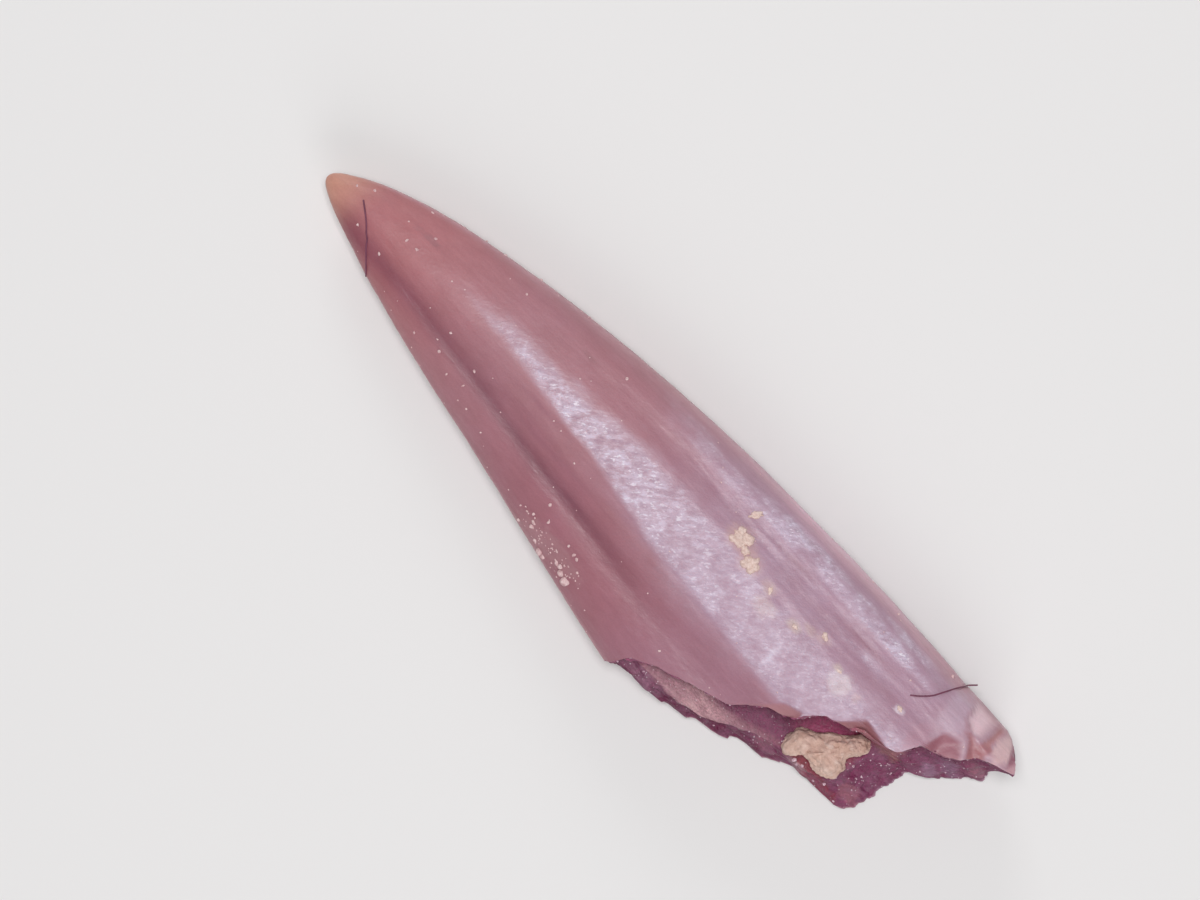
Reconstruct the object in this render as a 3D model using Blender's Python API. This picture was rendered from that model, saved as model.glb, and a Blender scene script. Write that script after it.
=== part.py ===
"""A fossil archosaur tooth: a flattened, gently curved crown, broken obliquely at its base.

The crown lies on its side. +X runs from the apex to the broken base, +Y to the more convex of its two
margins, and +Z up, away from the face that it rests on. Lengths are millimetres until a mesh is made.
The crown's outline, its thickness and its break are smooth curves and lines through a few points. Every
point is measured from the apex along the crown, and from the crown's axis across it.
"""

import math

import bmesh
import bpy
import numpy as np
from mathutils import Vector, noise

MM = 0.001

# Driving dimensions, in mm: (distance from the apex, value)
LOWER_MARGIN = (
    (0.0, 0.026),
    (0.16, -0.100),
    (0.48, -0.212),
    (0.80, -0.309),
    (1.60, -0.504),
    (2.40, -0.666),
    (3.20, -0.838),
    (4.00, -1.011),
    (4.40, -1.085),
    (5.60, -1.200),
    (7.40, -1.270),
)
UPPER_MARGIN = (
    (0.0, 0.026),
    (0.16, 0.190),
    (0.48, 0.348),
    (0.80, 0.461),
    (1.60, 0.645),
    (2.40, 0.772),
    (3.20, 0.854),
    (4.00, 0.902),
    (4.80, 0.916),
    (5.60, 0.918),
    (6.40, 0.880),
    (7.40, 0.850),
)
CREST_HEIGHT = ((0.0, 0.34), (0.16, 0.45), (0.48, 0.53), (0.80, 0.59), (1.60, 0.72), (2.40, 0.82))
CREST_HEIGHT += ((3.20, 0.90), (4.00, 0.95), (4.80, 0.98), (5.60, 1.00), (7.40, 1.02))
MARGIN_HEIGHT = ((0.0, 0.34), (0.80, 0.36), (2.40, 0.40), (4.80, 0.45), (7.40, 0.48))
BELLY_HEIGHT = ((0.0, 0.34), (0.16, 0.25), (0.48, 0.18), (0.80, 0.14), (1.60, 0.06), (2.40, -0.01))
BELLY_HEIGHT += ((3.20, -0.055), (4.00, -0.065), (4.80, -0.055), (5.60, -0.02), (6.40, 0.02), (7.40, 0.05))

# The break, in mm: (across the crown, distance from the apex), on the upper face and on the lower one
UPPER_BREAK = (
    (-1.10, 4.26),
    (-1.06, 4.38),
    (-1.00, 4.41),
    (-0.90, 4.48),
    (-0.80, 4.68),
    (-0.70, 4.96),
    (-0.60, 5.28),
    (-0.44, 5.44),
    (-0.38, 5.52),
    (-0.35, 5.64),
    (-0.30, 5.71),
    (-0.23, 5.75),
    (-0.15, 5.82),
    (-0.10, 5.88),
    (-0.08, 5.97),
    (-0.02, 6.10),
    (0.03, 6.18),
    (0.06, 6.37),
    (0.09, 6.46),
    (0.14, 6.50),
    (0.28, 6.56),
    (0.31, 6.68),
    (0.36, 6.79),
    (0.42, 6.87),
    (0.52, 6.95),
    (0.57, 7.03),
    (0.60, 7.13),
    (0.64, 7.26),
    (0.70, 7.22),
    (0.78, 7.14),
    (0.83, 7.06),
    (0.88, 6.94),
)
LOWER_BREAK = (
    (-1.10, 4.32),
    (-1.01, 4.45),
    (-0.99, 4.84),
    (-0.95, 5.00),
    (-0.93, 5.15),
    (-0.88, 5.24),
    (-0.83, 5.46),
    (-0.77, 5.55),
    (-0.74, 5.64),
    (-0.72, 5.80),
    (-0.66, 5.92),
    (-0.60, 6.00),
    (-0.57, 6.06),
    (-0.56, 6.44),
    (-0.54, 6.56),
    (-0.47, 6.62),
    (-0.42, 6.65),
    (-0.33, 6.65),
    (-0.12, 6.68),
    (0.03, 6.71),
    (0.08, 6.77),
    (0.16, 6.91),
    (0.26, 6.98),
    (0.32, 7.04),
    (0.38, 7.08),
    (0.42, 7.17),
    (0.46, 7.20),
    (0.53, 7.16),
    (0.64, 7.25),
    (0.78, 7.14),
    (0.88, 6.94),
)
# How far the break has come from the lower face's edge to the upper one's, by height between the faces
BREAK_SLOPE = ((0.0, 0.0), (0.22, 0.45), (0.50, 0.75), (0.78, 1.0), (1.0, 1.0))

# Cross-section: (turn from the upper margin in degrees, share of the height from the margin to the crest)
UPPER_PROFILE = ((0, 0.0), (14, 0.31), (27, 0.56), (38, 0.72), (51, 0.84), (60, 0.905), (69, 0.96), (80, 1.0))
UPPER_PROFILE += ((90, 0.99), (98, 0.93), (107, 0.81), (116, 0.70), (126, 0.64), (138, 0.53))
UPPER_PROFILE += ((150, 0.38), (162, 0.22), (171, 0.11), (180, 0.0))
LOWER_PROFILE = ((0, 0.0), (14, 0.33), (28, 0.64), (40, 0.83), (50, 0.92), (62, 0.97), (76, 1.0), (90, 1.0))
LOWER_PROFILE += ((104, 0.96), (116, 0.86), (128, 0.78), (140, 0.62), (156, 0.34), (168, 0.17), (180, 0.0))
RELIEF_STARTS, RELIEF_FULL = 0.3, 2.2

# Long folds of the upper face: turn and half breadth in degrees, rise as a share of the height, and how much
# of it there is along the crown. They are the crease under the crest, the furrow above it and the upper ridge.
FOLDS = (
    (120, 8, -0.03, ((0.6, 0.0), (1.3, 1.0), (3.7, 1.0), (4.7, 0.0))),
    (54, 8, -0.04, ((1.8, 0.0), (4.0, 1.0), (7.0, 0.6))),
    (37, 9, 0.028, ((2.2, 0.0), (4.2, 1.0), (6.2, 1.0), (6.8, 0.2))),
)

# Chips on the upper face along the break, each a pit between flat sides. A side is a line from one place to
# another, in mm from the apex and across, with the chip on its right hand, and how steeply it goes down.
CHIPS = (
    ((5.43, -0.42, 5.57, -0.26, 0.9), (5.57, -0.26, 5.73, -0.21, 0.9), (5.73, -0.21, 5.76, -0.36, 1.5)),
    ((5.95, -0.07, 6.12, 0.12, 1.1), (6.12, 0.12, 6.38, 0.07, 1.1)),
    ((6.57, 0.29, 6.62, 0.50, 1.0), (6.62, 0.50, 6.80, 0.55, 0.6), (6.82, 0.53, 6.92, 0.40, 0.35)),
    ((6.69, 0.69, 6.65, 0.87, 1.2), (6.80, 0.62, 6.69, 0.69, 1.2), (6.90, 0.66, 6.80, 0.62, 0.8))
    + ((6.92, 0.87, 6.90, 0.66, 0.25),),
    ((6.89, 0.63, 6.92, 0.90, 0.8), (7.00, 0.88, 6.97, 0.62, 0.8), (6.97, 0.62, 6.89, 0.63, 0.8)),
    ((6.80, 0.65, 7.02, 0.59, 0.5), (6.91, 0.40, 6.82, 0.53, 0.8), (7.02, 0.59, 7.01, 0.50, 0.8)),
    ((7.17, 0.62, 7.06, 0.84, 1.0), (7.22, 0.72, 7.19, 0.62, 1.0)),
)
CHIP_STEEPNESS, DEEPEST_CHIP, MOST_CHIPPED = 0.6, 0.07, 0.5

# The hollow at the break, and its lower rim, given as the break is
HOLLOW_ACROSS, HOLLOW_HEIGHT = -0.40, 0.50
HOLLOW_HALF_BREADTH, HOLLOW_HALF_DEPTH = 0.50, 0.19
HOLLOW_END, HOLLOW_END_ACROSS, HOLLOW_END_SHARE = 4.40, -0.20, 0.30
HOLLOW_RIM = 0.28
HOLLOW_EDGE = (
    (-0.90, 4.60),
    (-0.87, 5.00),
    (-0.83, 5.22),
    (-0.76, 5.36),
    (-0.70, 5.45),
    (-0.62, 5.62),
    (-0.56, 5.80),
    (-0.53, 6.12),
    (-0.49, 6.28),
    (-0.36, 6.35),
    (0.00, 6.37),
    (0.10, 6.42),
)

# The sediment on the floor of the hollow: its outline from above, (from the apex, across), and its layers,
# (share of its height, share of the outline)
MATRIX_OUTLINE = (
    (5.80, -0.46),
    (5.84, -0.33),
    (5.97, -0.21),
    (6.12, -0.09),
    (6.27, 0.01),
    (6.34, -0.04),
    (6.31, -0.14),
    (6.28, -0.22),
    (6.33, -0.31),
    (6.30, -0.40),
    (6.21, -0.48),
    (6.08, -0.46),
    (5.98, -0.48),
    (5.94, -0.53),
    (5.85, -0.54),
)
MATRIX_LAYERS = ((0.0, 0.55), (0.0, 0.85), (0.45, 1.0), (0.75, 0.88), (0.95, 0.55))
MATRIX_TOP = 0.62
MATRIX_GAP = 0.030

AROUND = 116
ALONG = 48
EDGE_CROWDING = 0.8
CREST_CROWDING = 0.3
BREAK_RINGS = 5
HOLLOW_RINGS = 5
MATRIX_AROUND = 45


def clear_scene():
    for old in list(bpy.data.objects):
        bpy.data.objects.remove(old, do_unlink=True)


def material(name, colour, roughness):
    made = bpy.data.materials.new(name)
    made.use_nodes = True
    shader = made.node_tree.nodes["Principled BSDF"]
    shader.inputs["Base Color"].default_value = (*colour, 1.0)
    shader.inputs["Roughness"].default_value = roughness
    shader.inputs["Metallic"].default_value = 0.0
    return made


def smooth(points, at):
    """A smooth curve through the points, read at each value of at."""
    places = np.array([place for place, _ in points], float)
    values = np.array([value for _, value in points], float)
    slopes = np.gradient(values, places)
    at = np.clip(at, places[0], places[-1])
    left = np.clip(np.searchsorted(places, at, side="right") - 1, 0, len(places) - 2)
    step = places[left + 1] - places[left]
    t = (at - places[left]) / step
    rise = (1 + 2 * t) * (1 - t) ** 2 * values[left] + t * t * (3 - 2 * t) * values[left + 1]
    lean = t * (1 - t) ** 2 * slopes[left] - t * t * (1 - t) * slopes[left + 1]
    return rise + step * lean


def along(points, x):
    """As smooth, but read by the root of the distance from the apex, which makes the apex a round end."""
    return smooth([(math.sqrt(place), value) for place, value in points], np.sqrt(x))


def line(points, at):
    return np.interp(at, [place for place, _ in points], [value for _, value in points])


def fade(value, start, end):
    t = np.clip((value - start) / (end - start), 0.0, 1.0)
    return t * t * (3 - 2 * t)


def chip_depth(sides, x, y):
    """How deep the chip is at each place: as deep as the shallowest of its sides, and 0 outside them."""
    depth = np.full(np.shape(x), DEEPEST_CHIP)
    for x1, y1, x2, y2, slope in sides:
        away = ((y2 - y1) * (x - x1) - (x2 - x1) * (y - y1)) / math.hypot(x2 - x1, y2 - y1)
        depth = np.minimum(depth, CHIP_STEEPNESS * slope * away)
    return np.maximum(depth, 0.0)


def chipped(x, y, z, middle):
    """The upper face's height less its chips, which leave a part of the height over the margin."""
    for sides in CHIPS:
        z = z - np.minimum(chip_depth(sides, x, y), MOST_CHIPPED * (z - middle))
    return z


def section(points, x, turn):
    """The share of the height at each turn: an ellipse at the apex, and the ridged profile further on."""
    round_end = np.abs(np.sin(turn))
    ridged = smooth(points, np.degrees(np.arccos(np.cos(turn))))
    return round_end + (ridged - round_end) * fade(x, RELIEF_STARTS, RELIEF_FULL)


def folds(x, turn):
    degrees = np.degrees(np.arccos(np.cos(turn)))
    total = 0.0
    for middle, breadth, rise, reach in FOLDS:
        total = total + rise * line(reach, x) * np.exp(-(((degrees - middle) / breadth) ** 2))
    return total


def surface(x, turn):
    """The crown's outside at a distance x from the apex and a turn around its axis, 0 at the upper margin."""
    low, high = along(LOWER_MARGIN, x), along(UPPER_MARGIN, x)
    y = 0.5 * (high + low) + 0.5 * (high - low) * np.cos(turn)
    middle = along(MARGIN_HEIGHT, x)
    upper_share = section(UPPER_PROFILE, x, turn) + folds(x, turn)
    upper = middle + (along(CREST_HEIGHT, x) - middle) * upper_share
    lower = middle + (along(BELLY_HEIGHT, x) - middle) * section(LOWER_PROFILE, x, turn)
    return y, np.where(np.sin(turn) >= 0, chipped(x, y, upper, middle), np.maximum(lower, 0.0))


def broken_at(turn):
    """How far from the apex the outside breaks off at each turn, found by halving."""
    near = np.full_like(turn, LOWER_MARGIN[1][0])
    far = np.full_like(turn, LOWER_MARGIN[-1][0])
    for _ in range(30):
        x = 0.5 * (near + far)
        y, _ = surface(x, turn)
        edge = np.where(np.sin(turn) >= 0, line(UPPER_BREAK, y), line(LOWER_BREAK, y))
        near, far = np.where(x < edge, x, near), np.where(x < edge, far, x)
    return 0.5 * (near + far)


def break_face(y, height):
    """The broken face's distance from the apex, height being 0 at the lower face's edge and 1 at the upper."""
    lower, upper = line(LOWER_BREAK, y), line(UPPER_BREAK, y)
    return lower + (upper - lower) * line(BREAK_SLOPE, height)


def ring(x, y, z):
    return np.stack([np.broadcast_to(x, np.shape(y)), y, np.broadcast_to(z, np.shape(y))], axis=1)


def rough(points, size, height):
    """The points moved along X by a fixed, uneven amount."""
    moved = points.copy()
    for point in moved:
        point[0] += height * noise.noise(Vector(point) / size)
    return moved


def outside_rings(turn):
    """Rings from the apex to the break, which lie closer together at both ends."""
    end = broken_at(turn)
    rings = []
    for step in range(1, ALONG + 1):
        t = step / ALONG * (1 + EDGE_CROWDING * (1 - step / ALONG))
        x = end * (0.55 * t * t + 0.45 * math.sin(0.5 * math.pi * t) * t)
        y, z = surface(x, turn)
        rings.append(ring(x, y, z))
    return rings


def hollow_rim(turn):
    """The hollow's edge: below it is where the rim is, and above it is under the upper face's edge."""
    y = HOLLOW_ACROSS + HOLLOW_HALF_BREADTH * np.cos(turn)
    z = HOLLOW_HEIGHT + HOLLOW_HALF_DEPTH * np.sin(turn)
    lower, upper = line(HOLLOW_EDGE, y), line(UPPER_BREAK, y)
    return ring(lower + (upper - lower) * fade(np.sin(turn), -0.5, 0.5), y, z)


def break_rings(turn, edge):
    """Rings across the broken face, from the outside's edge to the hollow's rim."""
    rim = hollow_rim(turn)
    edge_height = np.where(np.sin(turn) >= 0, 1.0, 0.0)
    rim_height = 0.5 + HOLLOW_RIM * np.sin(turn)
    stray = rim[:, 0] - break_face(rim[:, 1], rim_height)
    rings = []
    for step in range(1, BREAK_RINGS + 1):
        t = step / BREAK_RINGS
        _, y, z = (edge + (rim - edge) * t).T
        x = break_face(y, edge_height + (rim_height - edge_height) * t) + stray * t * t
        rings.append(rough(ring(x, y, z), 0.16, 0.04))
    return rings


def hollow_rings(rim):
    """Rings down the hollow, which narrows and ends inside the crown."""
    rings = []
    for step in range(1, HOLLOW_RINGS + 1):
        t = step / HOLLOW_RINGS
        share = 1 - (1 - HOLLOW_END_SHARE) * t * t
        across = HOLLOW_ACROSS + (HOLLOW_END_ACROSS - HOLLOW_ACROSS) * t
        y = across + (rim[:, 1] - HOLLOW_ACROSS) * share
        z = HOLLOW_HEIGHT + (rim[:, 2] - HOLLOW_HEIGHT) * share
        rings.append(ring(rim[:, 0] + (HOLLOW_END - rim[:, 0]) * t, y, z))
    return rings


def hollow_floor(y):
    """The height of the hollow's floor behind its rim."""
    across = np.clip((y - HOLLOW_ACROSS) / HOLLOW_HALF_BREADTH, -1.0, 1.0)
    return HOLLOW_HEIGHT - HOLLOW_HALF_DEPTH * np.sqrt(1 - across**2)


def matrix_rings():
    """Rings of the sediment, from its base, which follows the hollow's floor, to its top."""
    corners = np.array(MATRIX_OUTLINE * 3)
    steps = len(MATRIX_OUTLINE) * (1 + np.arange(MATRIX_AROUND) / MATRIX_AROUND)
    x, y = (smooth(list(enumerate(corners[:, axis])), steps) for axis in (0, 1))
    middle_x, middle_y = x.mean(), y.mean()
    rings = []
    for height, share in MATRIX_LAYERS:
        layer_x = middle_x + (x - middle_x) * share
        layer_y = middle_y + (y - middle_y) * share
        low = hollow_floor(layer_y) + MATRIX_GAP
        rings.append(ring(layer_x, layer_y, low + (MATRIX_TOP - low) * height))
    return rings


def solid(name, rings, start, end, look):
    """One closed body over the rings, with a point at each end."""
    points = [start, *np.concatenate(rings), end]
    around = len(rings[0])
    made = bmesh.new()
    verts = [made.verts.new(Vector(point) * MM) for point in points]
    loops = [verts[1 + first : 1 + first + around] for first in range(0, len(points) - 2, around)]
    for k in range(around):
        after = (k + 1) % around
        made.faces.new((verts[0], loops[0][after], loops[0][k]))
        made.faces.new((verts[-1], loops[-1][k], loops[-1][after]))
        for inner, outer in zip(loops, loops[1:]):
            made.faces.new((inner[k], inner[after], outer[after], outer[k]))
    bmesh.ops.recalc_face_normals(made, faces=made.faces)
    bmesh.ops.triangulate(made, faces=made.faces)
    mesh = bpy.data.meshes.new(name)
    made.to_mesh(mesh)
    made.free()
    mesh.materials.append(look)
    mesh.shade_smooth()
    mesh.set_sharp_from_angle(angle=math.radians(40))
    return bpy.data.objects.new(name, mesh)


def make_tooth():
    turn = 2 * math.pi * (np.arange(AROUND) + 0.5) / AROUND
    turn = turn + 0.5 * CREST_CROWDING * np.sin(2 * turn)
    outside = outside_rings(turn)
    broken = break_rings(turn, outside[-1])
    hollow = hollow_rings(broken[-1])
    apex = (0.0, LOWER_MARGIN[0][1], MARGIN_HEIGHT[0][1])
    end = (HOLLOW_END - 0.1, HOLLOW_END_ACROSS, HOLLOW_HEIGHT)
    look = material("tooth", (0.38, 0.20, 0.25), 0.38)
    return solid("tooth", outside + broken + hollow, apex, end, look)


def make_matrix():
    rings = matrix_rings()
    start, end = rings[0].mean(axis=0), rings[-1].mean(axis=0)
    look = material("matrix", (0.52, 0.33, 0.25), 0.85)
    return solid("matrix", rings, start, (end[0], end[1], MATRIX_TOP), look)


def centre(parts):
    """Moves the meshes so that the origin is under the middle of their common box."""
    corners = np.array([vertex.co for part in parts for vertex in part.data.vertices])
    low, high = corners.min(axis=0), corners.max(axis=0)
    shift = Vector((-0.5 * (low[0] + high[0]), -0.5 * (low[1] + high[1]), -low[2]))
    for part in parts:
        for vertex in part.data.vertices:
            vertex.co += shift


def main():
    clear_scene()
    home = bpy.data.collections.new("fossil_archosaur_tooth")
    bpy.context.scene.collection.children.link(home)
    parts = [make_tooth(), make_matrix()]
    centre(parts)
    for part in parts:
        home.objects.link(part)


main()
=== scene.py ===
"""Looks of a fossil archosaur tooth that lies on its side, broken at the base, with sediment in the hollow.

The shapes repeat the solids' own dimensions, in mm from the apex along the crown (x) and from the crown's
axis across it (y), with z up from the face that it rests on. Fine relief, colour and dirt are added here.
"""

import math

import bmesh
import bpy
import numpy as np
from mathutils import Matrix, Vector, noise


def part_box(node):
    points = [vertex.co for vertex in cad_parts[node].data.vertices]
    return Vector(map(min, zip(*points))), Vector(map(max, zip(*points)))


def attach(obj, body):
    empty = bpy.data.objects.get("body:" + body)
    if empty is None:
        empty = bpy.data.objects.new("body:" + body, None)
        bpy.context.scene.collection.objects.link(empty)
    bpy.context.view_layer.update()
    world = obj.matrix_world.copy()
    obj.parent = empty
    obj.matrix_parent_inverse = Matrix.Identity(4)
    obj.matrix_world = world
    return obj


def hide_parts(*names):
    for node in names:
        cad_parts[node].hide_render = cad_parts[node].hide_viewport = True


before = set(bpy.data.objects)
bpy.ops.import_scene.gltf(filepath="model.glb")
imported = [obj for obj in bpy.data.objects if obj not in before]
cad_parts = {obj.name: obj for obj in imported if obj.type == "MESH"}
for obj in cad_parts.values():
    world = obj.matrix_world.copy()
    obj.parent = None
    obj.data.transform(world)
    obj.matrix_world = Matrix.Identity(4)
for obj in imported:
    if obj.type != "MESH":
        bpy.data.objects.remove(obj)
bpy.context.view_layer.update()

MM = 0.001
SEED = 46

# Outline and heights of the crown: (distance from the apex, value)
LOWER_MARGIN = (
    (0.0, 0.026), (0.16, -0.1), (0.48, -0.212), (0.8, -0.309), (1.6, -0.504), (2.4, -0.666), (3.2, -0.838),
    (4.0, -1.011), (4.4, -1.085), (5.6, -1.2), (7.4, -1.27),
)
UPPER_MARGIN = (
    (0.0, 0.026), (0.16, 0.19), (0.48, 0.348), (0.8, 0.461), (1.6, 0.645), (2.4, 0.772), (3.2, 0.854),
    (4.0, 0.902), (4.8, 0.916), (5.6, 0.918), (6.4, 0.88), (7.4, 0.85),
)
CREST_HEIGHT = (
    (0.0, 0.34), (0.16, 0.45), (0.48, 0.53), (0.8, 0.59), (1.6, 0.72), (2.4, 0.82), (3.2, 0.9), (4.0, 0.95),
    (4.8, 0.98), (5.6, 1.0), (7.4, 1.02),
)
MARGIN_HEIGHT = ((0.0, 0.34), (0.8, 0.36), (2.4, 0.4), (4.8, 0.45), (7.4, 0.48))
BELLY_HEIGHT = (
    (0.0, 0.34), (0.16, 0.25), (0.48, 0.18), (0.8, 0.14), (1.6, 0.06), (2.4, -0.01), (3.2, -0.055),
    (4.0, -0.065), (4.8, -0.055), (5.6, -0.02), (6.4, 0.02), (7.4, 0.05),
)

# The break, in mm: (across the crown, distance from the apex), on the upper face and on the lower one
UPPER_BREAK = (
    (-1.1, 4.26), (-1.06, 4.38), (-1.0, 4.41), (-0.9, 4.48), (-0.8, 4.68), (-0.7, 4.96), (-0.6, 5.28),
    (-0.44, 5.44), (-0.38, 5.52), (-0.35, 5.64), (-0.3, 5.71), (-0.23, 5.75), (-0.15, 5.82), (-0.1, 5.88),
    (-0.08, 5.97), (-0.02, 6.1), (0.03, 6.18), (0.06, 6.37), (0.09, 6.46), (0.14, 6.5), (0.28, 6.56),
    (0.31, 6.68), (0.36, 6.79), (0.42, 6.87), (0.52, 6.95), (0.57, 7.03), (0.6, 7.13), (0.64, 7.26),
    (0.7, 7.22), (0.78, 7.14), (0.83, 7.06), (0.88, 6.94),
)
LOWER_BREAK = (
    (-1.1, 4.32), (-1.01, 4.45), (-0.99, 4.84), (-0.95, 5.0), (-0.93, 5.15), (-0.88, 5.24), (-0.83, 5.46),
    (-0.77, 5.55), (-0.74, 5.64), (-0.72, 5.8), (-0.66, 5.92), (-0.6, 6.0), (-0.57, 6.06), (-0.56, 6.44),
    (-0.54, 6.56), (-0.47, 6.62), (-0.42, 6.65), (-0.33, 6.65), (-0.12, 6.68), (0.03, 6.71), (0.08, 6.77),
    (0.16, 6.91), (0.26, 6.98), (0.32, 7.04), (0.38, 7.08), (0.42, 7.17), (0.46, 7.2), (0.53, 7.16),
    (0.64, 7.25), (0.78, 7.14), (0.88, 6.94),
)
# How far the break has come from the lower face's edge to the upper one's, by height between the faces
BREAK_SLOPE = ((0.0, 0.0), (0.22, 0.45), (0.50, 0.75), (0.78, 1.0), (1.0, 1.0))

# Cross-section: (turn from the upper margin in degrees, share of the height from the margin to the crest)
UPPER_PROFILE = (
    (0, 0.0), (14, 0.31), (27, 0.56), (38, 0.72), (51, 0.84), (60, 0.905), (69, 0.96), (80, 1.0),
    (90, 0.99), (98, 0.93), (107, 0.81), (116, 0.7), (126, 0.64), (138, 0.53), (150, 0.38), (162, 0.22),
    (171, 0.11), (180, 0.0),
)
LOWER_PROFILE = (
    (0, 0.0), (14, 0.33), (28, 0.64), (40, 0.83), (50, 0.92), (62, 0.97), (76, 1.0), (90, 1.0), (104, 0.96),
    (116, 0.86), (128, 0.78), (140, 0.62), (156, 0.34), (168, 0.17), (180, 0.0),
)
RELIEF_STARTS, RELIEF_FULL = 0.3, 2.2

# The crease under the crest, the furrow above it and the upper ridge: turn and half breadth in degrees,
# rise as a share of the height, and how much of it there is along the crown
FOLDS = (
    (120, 8, -0.03, ((0.6, 0.0), (1.3, 1.0), (3.7, 1.0), (4.7, 0.0))),
    (54, 8, -0.04, ((1.8, 0.0), (4.0, 1.0), (7.0, 0.6))),
    (37, 9, 0.028, ((2.2, 0.0), (4.2, 1.0), (6.2, 1.0), (6.8, 0.2))),
)

# Chips on the upper face along the break, each a pit between flat sides. A side is a line from one place to
# another, in mm from the apex and across, with the chip on its right hand, and how steeply it goes down.
CHIPS = (
    ((5.43, -0.42, 5.57, -0.26, 0.9), (5.57, -0.26, 5.73, -0.21, 0.9), (5.73, -0.21, 5.76, -0.36, 1.5)),
    ((5.95, -0.07, 6.12, 0.12, 1.1), (6.12, 0.12, 6.38, 0.07, 1.1)),
    ((6.57, 0.29, 6.62, 0.5, 1.0), (6.62, 0.5, 6.8, 0.55, 0.6), (6.82, 0.53, 6.92, 0.4, 0.35)),
    (
        (6.69, 0.69, 6.65, 0.87, 1.2), (6.8, 0.62, 6.69, 0.69, 1.2), (6.9, 0.66, 6.8, 0.62, 0.8),
        (6.92, 0.87, 6.9, 0.66, 0.25),
    ),
    ((6.89, 0.63, 6.92, 0.9, 0.8), (7.0, 0.88, 6.97, 0.62, 0.8), (6.97, 0.62, 6.89, 0.63, 0.8)),
    ((6.8, 0.65, 7.02, 0.59, 0.5), (6.91, 0.4, 6.82, 0.53, 0.8), (7.02, 0.59, 7.01, 0.5, 0.8)),
    ((7.17, 0.62, 7.06, 0.84, 1.0), (7.22, 0.72, 7.19, 0.62, 1.0)),
)
# What all steepness is multiplied by, the greatest depth, the greatest share of the height over the margin,
# and how far the lines between sides are rounded, in mm
CHIP_STEEPNESS, DEEPEST_CHIP, MOST_CHIPPED, CHIP_SOFTNESS = 0.9, 0.09, 0.6, 0.005

# The broken edge's small teeth: noise read around a ring, in layers of (height, size, octaves, start)
# for the shift across and for that along. The upper face has a share of it. The higher the power, the
# nearer the teeth stay to the edge.
TEETH_RING = (0.95, 0.40)
TEETH_ACROSS = ((0.018, 0.065, 4, 0.0), (0.005, 0.03, 3, 9.0))
TEETH_ALONG = ((0.030, 0.07, 4, 4.0), (0.008, 0.03, 3, 6.0))
UPPER_TEETH, TEETH_POWER = 0.35, 24
# Other relief in the same kind of layers, and the share of the break's that the hollow has
BREAK_GRAIN = ((0.026, 0.16, 4, 7.0), (0.016, 0.05, 4, 0.0))
HOLLOW_GRAIN = 0.2
MATRIX_LUMPS = ((0.030, 0.17, 3, 0.0), (0.014, 0.06, 3, 0.0), (0.006, 0.025, 2, 0.0))
# The enamel's relief, in mm
WAVE_HEIGHT, WRINKLE_HEIGHT, FINE_HEIGHT, GROOVE_DEPTH = 0.0035, 0.0065, 0.0012, 0.004

# The hollow at the break, and its lower rim, given as the break is
HOLLOW_ACROSS, HOLLOW_HEIGHT = -0.40, 0.50
HOLLOW_HALF_BREADTH, HOLLOW_HALF_DEPTH = 0.50, 0.19
HOLLOW_END, HOLLOW_END_ACROSS, HOLLOW_END_SHARE = 4.40, -0.20, 0.30
HOLLOW_RIM = 0.28
HOLLOW_EDGE = (
    (-0.9, 4.6), (-0.87, 5.0), (-0.83, 5.22), (-0.76, 5.36), (-0.7, 5.45), (-0.62, 5.62), (-0.56, 5.8),
    (-0.53, 6.12), (-0.49, 6.28), (-0.36, 6.35), (0.0, 6.37), (0.1, 6.42),
)

# The sediment on the floor of the hollow: its outline from above, (from the apex, across), and its layers,
# (share of its height, share of the outline)
MATRIX_OUTLINE = (
    (5.8, -0.46), (5.84, -0.33), (5.97, -0.21), (6.12, -0.09), (6.27, 0.01), (6.34, -0.04), (6.31, -0.14),
    (6.28, -0.22), (6.33, -0.31), (6.3, -0.4), (6.21, -0.48), (6.08, -0.46), (5.98, -0.48), (5.94, -0.53),
    (5.85, -0.54),
)
MATRIX_LAYERS = ((0.0, 0.55), (0.0, 0.85), (0.45, 1.0), (0.75, 0.88), (0.95, 0.55))
MATRIX_TOP = 0.62
MATRIX_GAP = 0.004
# The dimple in its lower end: (from the apex, across, breadth, depth)
DIMPLE = (5.89, -0.38, 0.035, 0.045)

AROUND = 432
ALONG = 150
EDGE_CROWDING = 0.8
BREAK_RINGS = 24
HOLLOW_RINGS = 24
MATRIX_AROUND = 200
MATRIX_RINGS = 50

# Edges between faces at more than this angle, in degrees, stay sharp
SHARP_ON_TOOTH, SHARP_ON_MATRIX = 48, 50

ENAMEL, BROKEN, HOLLOW = 0, 1, 2


def fade(value, start, end):
    t = np.clip((value - start) / (end - start), 0.0, 1.0)
    return t * t * (3 - 2 * t)


def bell(value, middle, breadth):
    return np.exp(-(((value - middle) / breadth) ** 2))


def smooth(points, at):
    """A smooth curve through the points, read at each value of at."""
    places = np.array([place for place, _ in points], float)
    values = np.array([value for _, value in points], float)
    slopes = np.gradient(values, places)
    at = np.clip(at, places[0], places[-1])
    left = np.clip(np.searchsorted(places, at, side="right") - 1, 0, len(places) - 2)
    step = places[left + 1] - places[left]
    t = (at - places[left]) / step
    rise = (1 + 2 * t) * (1 - t) ** 2 * values[left] + t * t * (3 - 2 * t) * values[left + 1]
    lean = t * (1 - t) ** 2 * slopes[left] - t * t * (1 - t) * slopes[left + 1]
    return rise + step * lean


def smooth_route(points, steps):
    """Each coordinate along a smooth route through the points, a step leading from one to the next."""
    return [smooth(list(enumerate(values)), steps) for values in np.array(points).T]


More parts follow.
